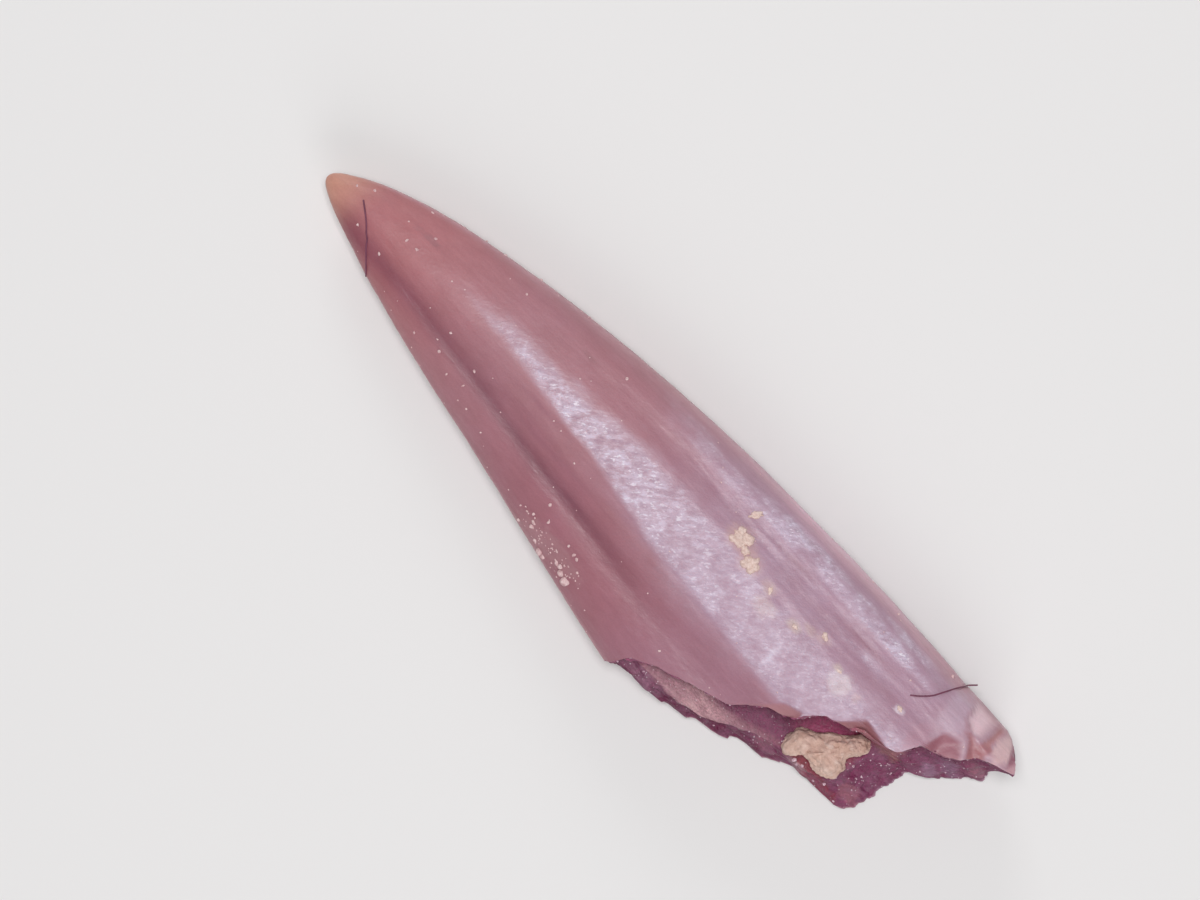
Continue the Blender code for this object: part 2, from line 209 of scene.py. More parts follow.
def along(points, x):
    """As smooth, but read by the root of the distance from the apex, which makes the apex a round end."""
    return smooth([(math.sqrt(place), value) for place, value in points], np.sqrt(x))


def line(points, at):
    return np.interp(at, [place for place, _ in points], [value for _, value in points])


def lumps(points, size, octaves=3):
    """Fixed, uneven values from about -1 to 1, one for each point, whose lumps are about size across."""
    scaled = np.asarray(points, float) / size
    return np.array([noise.fractal(Vector(point), 0.9, 2.1, octaves) for point in scaled])


def layered(points, layers):
    return sum(height * lumps(points + start, size, octaves) for height, size, octaves, start in layers)


def degrees_from_margin(turn):
    """From 0 at the upper margin to 180 at the lower one, on either face."""
    return np.degrees(np.arccos(np.cos(turn)))


def chip_depth(sides, x, y):
    """How deep the chip is at each place: about what the shallowest of its sides says, 0 outside them."""
    total = np.full(np.shape(x), math.exp(-DEEPEST_CHIP / CHIP_SOFTNESS))
    for x1, y1, x2, y2, slope in sides:
        away = ((y2 - y1) * (x - x1) - (x2 - x1) * (y - y1)) / math.hypot(x2 - x1, y2 - y1)
        total = total + np.exp(np.minimum(-CHIP_STEEPNESS * slope * away / CHIP_SOFTNESS, 50.0))
    return np.maximum(-CHIP_SOFTNESS * np.log(total), 0.0)


def chipped(x, y, z, middle):
    """The upper face's height less its chips, which leave a part of the height over the margin."""
    for sides in CHIPS:
        z = z - np.minimum(chip_depth(sides, x, y), MOST_CHIPPED * (z - middle))
    return z


def section(points, x, turn):
    """The share of the height at each turn: an ellipse at the apex, and the ridged profile further on."""
    round_end = np.abs(np.sin(turn))
    ridged = smooth(points, degrees_from_margin(turn))
    return round_end + (ridged - round_end) * fade(x, RELIEF_STARTS, RELIEF_FULL)


def folds(x, turn):
    at = degrees_from_margin(turn)
    return sum(rise * line(reach, x) * bell(at, middle, breadth) for middle, breadth, rise, reach in FOLDS)


def surface(x, turn):
    """The outside at a distance x from the apex and a turn around its axis, 0 at the upper margin."""
    low, high = along(LOWER_MARGIN, x), along(UPPER_MARGIN, x)
    y = 0.5 * (high + low) + 0.5 * (high - low) * np.cos(turn)
    middle = along(MARGIN_HEIGHT, x)
    upper_share = section(UPPER_PROFILE, x, turn) + folds(x, turn)
    upper = middle + (along(CREST_HEIGHT, x) - middle) * upper_share
    lower = middle + (along(BELLY_HEIGHT, x) - middle) * section(LOWER_PROFILE, x, turn)
    return y, np.where(np.sin(turn) >= 0, chipped(x, y, upper, middle), np.maximum(lower, 0.0))


def upper_height(x, y):
    """The height of the upper face above the floor at each place."""
    low, high = along(LOWER_MARGIN, x), along(UPPER_MARGIN, x)
    turn = np.arccos(np.clip((y - 0.5 * (high + low)) / (0.5 * (high - low)), -1.0, 1.0))
    return surface(x, turn)[1]


def broken_at(turn, across=0.0, further=0.0):
    """How far from the apex the outside breaks off at each turn, found by halving."""
    near = np.full_like(turn, LOWER_MARGIN[1][0])
    far = np.full_like(turn, LOWER_MARGIN[-1][0])
    for _ in range(30):
        x = 0.5 * (near + far)
        here = surface(x, turn)[0] + across
        edge = np.where(np.sin(turn) >= 0, line(UPPER_BREAK, here), line(LOWER_BREAK, here)) + further
        near, far = np.where(x < edge, x, near), np.where(x < edge, far, x)
    return 0.5 * (near + far)


def break_face(y, height):
    """The broken face's distance from the apex, height being 0 at its lower edge and 1 at its upper one."""
    lower, upper = line(LOWER_BREAK, y), line(UPPER_BREAK, y)
    return lower + (upper - lower) * line(BREAK_SLOPE, height)


def ring(x, y, z):
    return np.stack([np.broadcast_to(x, np.shape(y)), y, np.broadcast_to(z, np.shape(y))], axis=1)


def outside_rings(turn):
    """Rings of the enamel. Only those near the break follow its small teeth."""
    circle = ring(0.0, TEETH_RING[0] * np.cos(turn), TEETH_RING[1] * np.sin(turn))
    end = broken_at(turn)
    keen = 1 - (1 - UPPER_TEETH) * fade(np.sin(turn), -0.02, 0.05)
    teeth = broken_at(turn, keen * layered(circle, TEETH_ACROSS), keen * layered(circle, TEETH_ALONG)) - end
    rings = []
    for step in range(1, ALONG + 1):
        t = step / ALONG * (1 + EDGE_CROWDING * (1 - step / ALONG))
        x = end * (0.55 * t * t + 0.45 * math.sin(0.5 * math.pi * t) * t) + teeth * t**TEETH_POWER
        y, z = surface(x, turn)
        rings.append(ring(x, y, z))
    return rings


def hollow_rim(turn):
    """The hollow's edge: below it is where the rim is, and above it is under the upper face's edge."""
    y = HOLLOW_ACROSS + HOLLOW_HALF_BREADTH * np.cos(turn)
    z = HOLLOW_HEIGHT + HOLLOW_HALF_DEPTH * np.sin(turn)
    lower, upper = line(HOLLOW_EDGE, y), line(UPPER_BREAK, y)
    return ring(lower + (upper - lower) * fade(np.sin(turn), -0.5, 0.5), y, z)


def break_rings(turn, edge):
    """Rings across the broken face, from the outside's edge to the hollow's rim."""
    rim = hollow_rim(turn)
    edge_height = np.where(np.sin(turn) >= 0, 1.0, 0.0)
    rim_height = 0.5 + HOLLOW_RIM * np.sin(turn)
    stray = rim[:, 0] - break_face(rim[:, 1], rim_height)
    teeth = edge[:, 0] - break_face(edge[:, 1], edge_height)
    rings = []
    for step in range(1, BREAK_RINGS + 1):
        t = step / BREAK_RINGS
        _, y, z = (edge + (rim - edge) * t).T
        x = break_face(y, edge_height + (rim_height - edge_height) * t)
        rings.append(ring(x + stray * t * t + teeth * (1 - t) ** 2, y, z))
    return rings


def hollow_rings(rim):
    """Rings down the hollow, which narrows and ends inside the crown."""
    rings = []
    for step in range(1, HOLLOW_RINGS + 1):
        t = step / HOLLOW_RINGS
        share = 1 - (1 - HOLLOW_END_SHARE) * t * t
        across = HOLLOW_ACROSS + (HOLLOW_END_ACROSS - HOLLOW_ACROSS) * t
        y = across + (rim[:, 1] - HOLLOW_ACROSS) * share
        z = HOLLOW_HEIGHT + (rim[:, 2] - HOLLOW_HEIGHT) * share
        rings.append(ring(rim[:, 0] + (HOLLOW_END - rim[:, 0]) * t, y, z))
    return rings


def hollow_floor(y):
    """The height of the hollow's floor behind its rim."""
    across = np.clip((y - HOLLOW_ACROSS) / HOLLOW_HALF_BREADTH, -1.0, 1.0)
    return HOLLOW_HEIGHT - HOLLOW_HALF_DEPTH * np.sqrt(1 - across**2)


def matrix_rings():
    """Rings of the sediment, from its base, which follows the hollow's floor, to its top."""
    steps = len(MATRIX_OUTLINE) * (1 + np.arange(MATRIX_AROUND) / MATRIX_AROUND)
    x, y = smooth_route(MATRIX_OUTLINE * 3, steps)
    middle_x, middle_y = x.mean(), y.mean()
    layers = list(enumerate(MATRIX_LAYERS))
    rings = []
    for step in np.linspace(0, len(layers), MATRIX_RINGS)[:-1]:
        height = line([(k, layer[0]) for k, layer in layers] + [(len(layers), 1.0)], step)
        share = line([(k, layer[1]) for k, layer in layers] + [(len(layers), 0.0)], step)
        layer_x = middle_x + (x - middle_x) * share
        layer_y = middle_y + (y - middle_y) * share
        low = hollow_floor(layer_y) + MATRIX_GAP
        rings.append(ring(layer_x, layer_y, low + (MATRIX_TOP - low) * height))
    return rings


def new_mesh(name, points, faces):
    mesh = bpy.data.meshes.new(name)
    mesh.from_pydata(points, [], faces)
    mesh.update()
    return mesh


def closed_mesh(name, rings, start, end):
    """A closed mesh over the rings, with a point at each end, still in mm from the apex."""
    around = len(rings[0])
    points = np.concatenate([[start], *rings, [end]])
    k = np.arange(around)
    after = (k + 1) % around
    faces = [(0, b, a) for a, b in zip(1 + k, 1 + after)]
    last = 1 + around * (len(rings) - 1)
    for first in range(1, last, around):
        faces += list(zip(first + k, first + after, first + around + after, first + around + k))
    faces += [(len(points) - 1, a, b) for a, b in zip(last + k, last + after)]
    return new_mesh(name, points.tolist(), [[int(corner) for corner in face] for face in faces])


def vectors(items, field):
    flat = np.empty(3 * len(items))
    items.foreach_get(field, flat)
    return flat.reshape(-1, 3)


def put_points(mesh, points):
    mesh.vertices.foreach_set("co", np.ascontiguousarray(points).ravel())
    mesh.update()


def attribute(mesh, name, values):
    """Values for each vertex: single numbers, vectors or colours."""
    kinds = {1: ("FLOAT", "value"), 3: ("FLOAT_VECTOR", "vector"), 4: ("FLOAT_COLOR", "color")}
    kind, field = kinds[1 if values.ndim == 1 else values.shape[1]]
    made = mesh.attributes.new(name, kind, "POINT")
    made.data.foreach_set(field, np.ascontiguousarray(values, np.float32).ravel())


tooth_low, tooth_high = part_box("tooth")
APEX_PLACE = tooth_low.x
AXIS_PLACE = tooth_high.y - MM * max(along(UPPER_MARGIN, np.linspace(4.5, 6.5, 400)))


def to_row(points):
    """From mm by the apex and the crown's axis to the row's metres."""
    return np.asarray(points, float) * MM + (APEX_PLACE, AXIS_PLACE, 0.0)


def new_object(name, data):
    made = bpy.data.objects.new(name, data)
    bpy.context.scene.collection.objects.link(made)
    return made


def place(name, mesh, slot, *looks):
    """An object of that mesh, in the row's frame, riding on the only body."""
    put_points(mesh, to_row(vectors(mesh.vertices, "co")))
    for look in looks:
        mesh.materials.append(look)
    made = new_object(name, mesh)
    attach(made, "root")
    return made


def tone(*screen):
    """A colour given as it looks on a screen, 0 to 255, made linear."""
    share = np.array(screen) / 255
    return tuple(np.where(share <= 0.04045, share / 12.92, ((share + 0.055) / 1.055) ** 2.4))


def mix(colour, other, share):
    return colour + (np.asarray(other) - colour) * np.asarray(share)[:, None]


# The enamel's colours, by place
FLANK = tone(172, 121, 130)
# The lower flank's tone, with painted shade, as that side faces away from the light
LOW_FLANK_IN_SHADE = tone(164, 108, 119)
# Painted shade for the crease
CREASE = tone(112, 60, 76)
STREAK = tone(146, 94, 108)
BASE_MAUVE = tone(172, 134, 152)
# The lower side's tone by the base, with painted shade, as it faces away from the light
LOW_BASE_IN_SHADE = tone(164, 117, 132)
# Painted light on the margins, where the rounded edge turns away from the lamps
EDGE = tone(196, 146, 154)
APEX = tone(208, 154, 134)
NEAR_APEX = tone(177, 112, 116)
# Painted shade under the crest by the apex
LOW_TIP_SHADE = tone(118, 54, 76)
# More painted light on the upper margin by the base
BASE_EDGE = tone(226, 188, 202)
CORNER = tone(186, 152, 165)
# Painted highlight on the crest and the upper ridge: a lilac sheen, darker patches in it and white glints
LILAC = tone(222, 208, 228)
LILAC_DARK = tone(160, 122, 144)
GLITTER = tone(236, 226, 238)

# Where the crest's painted highlight lies: the lower and the upper edge of the band, (from the apex, across)
CREST_LOW = (
    (1.4, 0.15), (1.6, 0.11), (2.0, 0.1), (2.4, 0.065), (3.2, -0.04), (4.0, -0.18), (4.8, -0.25),
    (5.6, -0.33), (6.0, -0.36),
)
CREST_HIGH = (
    (1.4, 0.2), (1.6, 0.21), (2.0, 0.26), (2.4, 0.27), (3.0, 0.28), (3.5, 0.33), (4.0, 0.33), (4.8, 0.27),
    (6.4, 0.2),
)
# How strong the painted highlight on the crest and the upper ridge is: (from the apex, strength)
CREST_GLINT = (
    (1.3, 0.0), (1.6, 0.3), (2.0, 0.6), (2.4, 0.95), (2.9, 1.0), (3.5, 0.9), (4.2, 0.7), (5.0, 0.55),
)
RIDGE_GLINT = (
    (3.1, 0.0), (3.7, 0.45), (4.4, 0.6), (4.7, 0.95), (5.0, 0.85), (5.3, 0.5), (5.6, 0.8), (6.0, 1.0),
    (6.3, 0.4), (6.6, 0.0),
)

# Painted shade along the crease: (from the apex, degrees from the upper margin) and (from the apex,
# strength)
CREASE_LINE = (
    (0.7, 122), (1.6, 121), (2.1, 119), (2.4, 121), (2.8, 122), (3.2, 119), (4.0, 118), (4.6, 121),
)
CREASE_SHADE = ((0.6, 0.0), (1.3, 0.35), (1.8, 0.5), (2.6, 0.65), (3.2, 0.7), (4.7, 0.0))

# Painted shade on the side under the crest by the apex: (from the apex, across) and (from the apex,
# strength)
SIDE_SHADE_LINE = ((0.2, -0.09), (0.6, -0.15), (1.2, -0.17), (1.8, -0.19), (2.4, -0.25))
SIDE_SHADE_SHARE = ((0.1, 0.0), (0.35, 0.6), (0.8, 0.55), (1.6, 0.36), (2.1, 0.12), (2.6, 0.0))

# Long dark streaks: (from the apex, across, half length, half breadth, slope, strength)
STREAKS = (
    (2.56, -0.03, 0.3, 0.024, -0.02, 0.4),
    (2.9, -0.22, 0.5, 0.026, -0.03, 0.4),
    (2.4, -0.16, 0.45, 0.035, -0.05, 0.25),
    (4.78, 0.568, 0.26, 0.022, 0.02, 0.6),
    (5.66, 0.515, 0.3, 0.024, 0.0, 0.55),
    (5.2, 0.44, 0.4, 0.035, 0.0, 0.35),
    (4.2, 0.5, 0.6, 0.045, 0.02, 0.3),
    (6.02, 0.36, 0.25, 0.035, 0.05, 0.35),
)
# Stains and pale marks on the upper face: (from the apex, across, length, breadth, screen colour, strength)
STAIN, BRUISE = (182, 150, 136), (150, 104, 110)
MARKS = (
    (4.4, 0.39, 0.14, 0.11, (198, 158, 154), 0.7),
    (4.59, 0.305, 0.12, 0.105, (202, 164, 164), 0.7),
    (4.84, 0.27, 0.07, 0.06, (200, 168, 166), 0.8),
    (4.91, 0.14, 0.11, 0.08, (192, 160, 156), 0.8),
    (5.18, 0.21, 0.07, 0.045, (202, 176, 164), 0.8),
    (5.42, 0.31, 0.07, 0.05, (200, 170, 172), 0.6),
    (5.3, 0.28, 0.05, 0.04, STAIN, 0.4),
    (5.77, 0.15, 0.11, 0.1, (206, 184, 186), 0.9),
    (5.67, 0.22, 0.06, 0.035, (196, 172, 158), 0.7),
    (5.93, 0.16, 0.04, 0.04, (200, 164, 158), 0.6),
    (6.24, 0.35, 0.04, 0.035, (222, 208, 218), 0.9),
    (5.22, -0.1, 0.025, 0.13, (214, 200, 214), 0.7),
    (3.38, -0.76, 0.38, 0.1, (182, 142, 146), 0.4),
    (0.98, 0.27, 0.1, 0.03, BRUISE, 0.5),
    (0.83, 0.26, 0.05, 0.03, BRUISE, 0.3),
    (2.52, 0.53, 0.08, 0.025, BRUISE, 0.5),
    (3.65, 0.17, 0.05, 0.03, (160, 112, 128), 0.6),
    (6.6, 0.66, 0.13, 0.2, (192, 164, 180), 0.8),
    (6.5, 0.24, 0.08, 0.22, (178, 134, 150), 0.85),
    (7.06, 0.71, 0.085, 0.14, (216, 182, 184), 0.95),
    (6.95, 0.61, 0.06, 0.07, (170, 112, 118), 0.9),
    (6.67, 0.74, 0.025, 0.08, (172, 124, 132), 0.4),
    (6.72, 0.655, 0.03, 0.03, (172, 124, 132), 0.5),
    (6.78, 0.605, 0.05, 0.025, (172, 124, 132), 0.6),
    (7.21, 0.66, 0.05, 0.06, (198, 156, 164), 0.9),
)
# The chips' own colours, in the order of CHIPS
CHIP_TONES = (
    (174, 120, 126), (152, 94, 98), (156, 96, 108), (232, 200, 208),
    (186, 130, 132), (168, 110, 114), (158, 100, 116),
)


def glitter_share(points):
    """How strongly each place of the upper face gets the painted highlight, a lilac glitter."""
    x, y = points[:, :2].T
    stretched = points * (0.5, 1.6, 1.6)
    wave = 0.020 * lumps(stretched, 0.12) + 0.018 * lumps(stretched + 2.0, 0.5)
    low, high = line(CREST_LOW, x), line(CREST_HIGH, x)
    crest = fade(y + wave, low - 0.03, low + 0.07) * (1 - fade(y + 2 * wave, high - 0.09, high + 0.09))
    crest = crest * line(CREST_GLINT, x)
    patchy = fade(lumps(points * (0.45, 1.4, 1.4) + 4.0, 0.22, 4), -0.35, 0.35)
    ridge = fade(y + wave, 0.57, 0.64) * (1 - fade(y + wave, 0.76, 0.84)) * line(RIDGE_GLINT, x)
    between = 0.5 * bell(y, 0.44, 0.06) * bell(x, 5.65, 0.40) * patchy
    painted_sheen = 0.22 * fade(x, 3.4, 4.4) * (1 - 0.5 * fade(x, 4.8, 5.6)) * (1 - fade(x, 6.5, 6.8))
    painted_sheen = painted_sheen * fade(y, -0.45, -0.25) * (1 - fade(y, 0.78, 0.88))
    return np.clip(np.max([crest, ridge * (0.35 + 0.65 * patchy), between, painted_sheen], axis=0), 0, 1)


def streaked(x, y):
    """How strongly each place is in a dark streak."""
    total = np.zeros_like(x)
    for from_apex, across, length, breadth, slope, strength in STREAKS:
        from_line = y - across - slope * (x - from_apex)
        total = np.maximum(total, strength * bell(from_line, 0.0, breadth) * bell(x, from_apex, length))
    return total


def with_patches(colour, points, patches, share, wobble, core):
    """The colour with patches over it, full up to core times their size and none from 1.2 times on."""
    for from_apex, across, length, breadth, shade, strength in patches:
        away = np.hypot((points[:, 0] - from_apex) / length, (points[:, 1] - across) / breadth) + wobble
        colour = mix(colour, tone(*shade), strength * share * (1 - fade(away, core, 1.2)))
    return colour


def enamel_colour(points, turn):
    """The enamel's colour by place: dark with painted shade in the crease, mauve by the base, tan at the
    apex.
    """
    x, y = points[:, :2].T
    degrees = degrees_from_margin(turn) + 3.0 * lumps(points * (0.5, 2.0, 2.0), 0.5)
    up = fade(np.sin(turn), -0.05, 0.10)
    colour = np.tile(FLANK, (len(x), 1))
    colour = mix(colour, NEAR_APEX, 1 - fade(x, 0.5, 2.2))
    # Painted shade on the lower side, which faces away from the light
    colour = mix(colour, LOW_FLANK_IN_SHADE, fade(degrees, 97, 110) * fade(x, 1.6, 3.2))
    colour = mix(colour, BASE_MAUVE, fade(x, 2.8, 4.6) * (1 - fade(degrees, 94, 104)))
    colour = mix(colour, LOW_BASE_IN_SHADE, fade(x, 3.8, 5.0) * fade(degrees, 94, 104))
    corner = fade(x - 0.16 * (y - 0.5) + 0.08 * lumps(points + 8.0, 0.25), 6.38, 6.62)
    colour = mix(colour, CORNER, 0.8 * corner * up)
    # Painted shade along the crease
    crease = bell(degrees, line(CREASE_LINE, x), 4.5 + 4.0 / (0.5 + x)) * line(CREASE_SHADE, x)
    colour = mix(colour, CREASE, crease * up)
    # Painted shade under the crest by the apex
    colour = mix(colour, LOW_TIP_SHADE, bell(y, line(SIDE_SHADE_LINE, x), 0.10) * line(SIDE_SHADE_SHARE, x) * up)
    colour = mix(colour, STREAK, streaked(x, y) * up)
    # Painted light on the margins, which turn away from the light and would go dark
    edge = 1 - fade(degrees, 10, 30) * (1 - fade(degrees, 166, 176))
    around = fade(np.sin(turn), -0.7, 0.15)
    colour = mix(colour, EDGE, 0.7 * edge * around)
    colour = mix(colour, BASE_EDGE, (1 - fade(degrees, 10, 30)) * bell(x, 5.0, 1.0) * around)
    colour = mix(colour, APEX, 0.9 * (1 - fade(x, 0.02, 0.5)))
    colour = with_patches(colour, points, MARKS, up, 0.35 * lumps(points + 3.0, 0.06), 0.65)
    for sides, shade in zip(CHIPS, CHIP_TONES):
        chip = up * fade(degrees, 9, 16) * fade(chip_depth(sides, x, y), 0.0, 0.024)
        colour = mix(colour, tone(*shade), 0.9 * chip)
    return colour


# The broken face's and the hollow's colours
DENTINE = tone(121, 44, 83)
# Painted shade with purple bounce light in it, for places under the overhang and deep in the hollow
SHADE_AND_BOUNCE = tone(162, 80, 114)
BROWN_SLOPE = tone(162, 100, 104)
LEDGE = tone(190, 147, 153)
RIM = tone(206, 164, 168)
# Painted shade in the pit behind the ledge
PIT = tone(122, 48, 86)
LEDGE_END = tone(132, 72, 94)
UNDER_LEDGE = tone(104, 22, 64)
MAUVE = tone(140, 96, 122)
# Dark red painted shade in the gap between the sediment and the wall
SHADE_BY_LUMP = tone(128, 40, 58)
# Painted light on the wall behind the sediment, which lies in shade
LIGHT_BEHIND_LUMP = tone(170, 72, 112)
# Pale crystal specks, partly painted glints
SUGAR_AND_GLINTS = tone(222, 206, 214)
# Patches on the broken face, given in the same way
PATCHES = (
    (4.64, -0.95, 0.2, 0.07, (146, 98, 120), 0.8),
    (6.5, -0.41, 0.1, 0.09, (150, 88, 104), 0.8),
    (6.26, -0.54, 0.26, 0.06, (130, 38, 58), 0.9),
    (6.02, -0.54, 0.1, 0.04, (200, 170, 172), 0.6),
    (6.28, 0.06, 0.28, 0.08, (152, 98, 90), 0.85),
    (6.5, 0.1, 0.06, 0.05, (176, 120, 122), 0.8),
    (6.8, 0.19, 0.08, 0.06, (150, 112, 136), 0.8),
    (6.92, 0.32, 0.12, 0.06, (142, 104, 130), 0.7),
    (7.1, 0.46, 0.1, 0.06, (160, 106, 120), 0.7),
    (5.66, -0.62, 0.2, 0.05, (142, 84, 102), 0.7),
)
# How pale the hollow's lower rim is: (from the apex, strength)
RIM_SHARE = ((4.5, 0.2), (4.9, 0.6), (5.2, 0.9), (5.35, 0.6), (5.6, 0.25), (5.9, 0.0))
# The upper edge of the smooth ledge in the hollow: (from the apex, across)
LEDGE_TOP = ((5.15, -0.71), (5.30, -0.66), (5.45, -0.61), (5.6, -0.56), (5.78, -0.51))


def dentine_colour(points, turn, share):
    """The broken face's colour, share being 0 at the enamel and 1 at the hollow's rim."""
    x, y = points[:, :2].T
    colour = np.tile(DENTINE, (len(x), 1))
    roof = fade(np.sin(turn), 0.0, 0.35) * (1 - fade(y, 0.05, 0.2))
    # Under the upper face's overhang: painted shade with purple bounce light, lighter and redder than the
    # dentine
    colour = mix(colour, SHADE_AND_BOUNCE, 0.8 * roof)
    colour = mix(colour, UNDER_LEDGE, (1 - fade(y, -0.66, -0.56)) * (1 - roof))
    low = 1 - fade(points[:, 2] + 0.10 * lumps(points + 2.0, 0.10), 0.42, 0.60)
    colour = with_patches(colour, points, PATCHES, low, 0.5 * lumps(points + 5.0, 0.09), 0.6)
    mottled = fade(lumps(points + 1.0, 0.10, 4), -0.3, 0.3)
    colour = mix(colour, MAUVE, 0.30 * mottled)
    slope = bell(x, 6.2, 0.22) * (1 - fade(share, 0.12, 0.40)) * fade(np.sin(turn), 0.0, 0.2)
    colour = mix(colour, BROWN_SLOPE, 0.9 * slope)
    rim = fade(share, 0.82, 0.97) * fade(-np.sin(turn), 0.05, 0.4)
    return mix(colour, RIM, rim * line(RIM_SHARE, x))


def hollow_colour(points, turn, depth):
    """The hollow's colour: a smooth pale ledge, with a dark pit of painted shade behind it, dark red painted
    shade by the sediment and painted light on the wall behind the sediment.
    """
    x, y = points[:, :2].T
    colour = np.tile(LEDGE, (len(x), 1))
    # Where the pit behind the ledge gets painted shade
    pit = fade(x, 5.10, 5.30) * fade(y - line(LEDGE_TOP, x), -0.03, 0.03)
    colour = mix(colour, LEDGE_END, np.maximum(fade(x, 5.25, 5.50), 0.6 * (1 - fade(x, 4.75, 5.1))))
    colour = mix(colour, RIM, (1 - fade(depth, 0.0, 0.12)) * (1 - pit) * line(RIM_SHARE, x))
    colour = mix(colour, PIT, 0.9 * pit)
    # Dark red painted shade in the gap by the sediment
    colour = mix(colour, SHADE_BY_LUMP, fade(x, 5.80, 5.95))
    # Painted light that brightens the shaded wall behind the sediment
    behind = fade(x, 5.70, 5.85) * (1 - fade(x, 6.12, 6.24)) * fade(y, -0.40, -0.30)
    colour = mix(colour, LIGHT_BEHIND_LUMP, behind)
    # Painted shade with purple bounce light under the overhang and deep in the hollow
    colour = mix(colour, SHADE_AND_BOUNCE, fade(np.sin(turn), -0.25, 0.15))
    return mix(colour, SHADE_AND_BOUNCE, fade(depth, 0.5, 0.9))


def wrinkles(points, turn):
    """How far the enamel stands out, wrinkled toward the base, and where its look reads its streaks."""
    x, y = points[:, :2].T
    flow = points * (0.45, 2.2, 2.2)
    wrinkled = fade(x, 2.0, 5.0) * (0.25 + 0.75 * (1 - fade(degrees_from_margin(turn), 92, 112)))
    push = WAVE_HEIGHT * lumps(points, 0.30) + WRINKLE_HEIGHT * wrinkled * lumps(flow, 0.16, 4)
    push += FINE_HEIGHT * lumps(points, 0.045, 2)
    return push - GROOVE_DEPTH * streaked(x, y) * fade(np.sin(turn), 0.0, 0.1), flow


def make_tooth(looks):
    """The crown, in one mesh from the apex to the hollow's end. It returns the broken face's points."""
    turn = 2 * math.pi * (np.arange(AROUND) + 0.5) / AROUND
    outside = outside_rings(turn)
    broken = break_rings(turn, outside[-1])
    hollow = hollow_rings(broken[-1])
    apex = (0.0, LOWER_MARGIN[0][1], MARGIN_HEIGHT[0][1])
    end = (HOLLOW_END - 0.1, HOLLOW_END_ACROSS, HOLLOW_HEIGHT)
    mesh = closed_mesh("tooth_crown", outside + broken + hollow, apex, end)
    points, normals = vectors(mesh.vertices, "co"), vectors(mesh.vertex_normals, "vector")
    turns = np.concatenate([[math.pi / 2], np.tile(turn, ALONG + BREAK_RINGS + HOLLOW_RINGS), [0.0]])
    counts = (1 + AROUND * ALONG, AROUND * BREAK_RINGS, AROUND * HOLLOW_RINGS + 1)
    zone = np.repeat([ENAMEL, BROKEN, HOLLOW], counts)
    share = np.repeat(np.arange(1, BREAK_RINGS + 1) / BREAK_RINGS, AROUND)
    depth = np.append(np.repeat(np.arange(1, HOLLOW_RINGS + 1) / HOLLOW_RINGS, AROUND), 1.0)
    enamel, bare, inner = (zone == kind for kind in (ENAMEL, BROKEN, HOLLOW))

    colour, glint = np.ones((len(points), 4)), np.zeros(len(points))
    colour[enamel, :3] = enamel_colour(points[enamel], turns[enamel])
    colour[bare, :3] = dentine_colour(points[bare], turns[bare], share)
    colour[inner, :3] = hollow_colour(points[inner], turns[inner], depth)
    # The painted highlight's share, none in the chips
    glint[enamel] = glitter_share(points[enamel]) * fade(np.sin(turns[enamel]), 0.0, 0.1)
    for sides in CHIPS:
        glint[enamel] *= 1 - fade(chip_depth(sides, *points[enamel, :2].T), 0.0, 0.010)

    push, flow = wrinkles(points, turns)
    push[bare] = layered(points[bare], BREAK_GRAIN)
    push[bare] *= fade(share, 0.0, 0.12) * (1 - 0.8 * fade(share, 0.85, 1.0))
    push[inner] = layered(points[inner], BREAK_GRAIN) * HOLLOW_GRAIN
    moved = points + normals * push[:, None]
    moved[:, 2] = np.maximum(moved[:, 2], 0.0)
    put_points(mesh, moved)

    attribute(mesh, "tint", colour)
    attribute(mesh, "glint", glint)
    attribute(mesh, "flow", flow)
    made = place("tooth_crown", mesh, "enamel", *looks)
    kinds = np.ones(len(mesh.polygons), np.int32)
    kinds[: AROUND * ALONG] = 0
    mesh.polygons.foreach_set("material_index", kinds)
    mesh.shade_smooth()
    mesh.set_sharp_from_angle(angle=math.radians(SHARP_ON_TOOTH))
    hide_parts("tooth")
    return moved[zone == BROKEN]


def make_matrix(look):
    """The sediment: a lumpy, granular crumb with a dimple in its lower end."""
    rings = matrix_rings()
    start, end = rings[0].mean(axis=0), rings[-1].mean(axis=0)
    mesh = closed_mesh("matrix_sediment", rings[1:], start, (end[0], end[1], MATRIX_TOP))
    points, normals = vectors(mesh.vertices, "co"), vectors(mesh.vertex_normals, "vector")
    from_apex, across, breadth, depth = DIMPLE
    from_dimple = np.hypot(points[:, 0] - from_apex, points[:, 1] - across)
    push = layered(points, MATRIX_LUMPS) - depth * bell(from_dimple, 0.0, breadth)
    above = fade(points[:, 2] - hollow_floor(points[:, 1]), 0.01, 0.08)
    put_points(mesh, points + normals * (push * above)[:, None])
    made = place("matrix_sediment", mesh, "sediment", look)
    mesh.shade_smooth()
    mesh.set_sharp_from_angle(angle=math.radians(SHARP_ON_MATRIX))
    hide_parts("matrix")


def setup(node, **settings):
    """Sets the node's own properties, and its inputs, whose names have _ for a space here."""
    for key, value in settings.items():
        if key in node.bl_rna.properties:
            setattr(node, key, value)
        else:
            node.inputs[key.replace("_", " ")].default_value = value
    return node


def add(near, kind, **settings):
    """A new node in the tree of the node or socket that is given."""
    return setup(near.id_data.nodes.new(kind), **settings)


def link(source, target):
    """Links an output to an input, or sets the input where the source is a plain value."""
    if isinstance(source, (int, float)):
        target.default_value = source
    elif isinstance(source, tuple):
        target.default_value = (*source, 1.0)
    else:
        target.id_data.links.new(source, target)


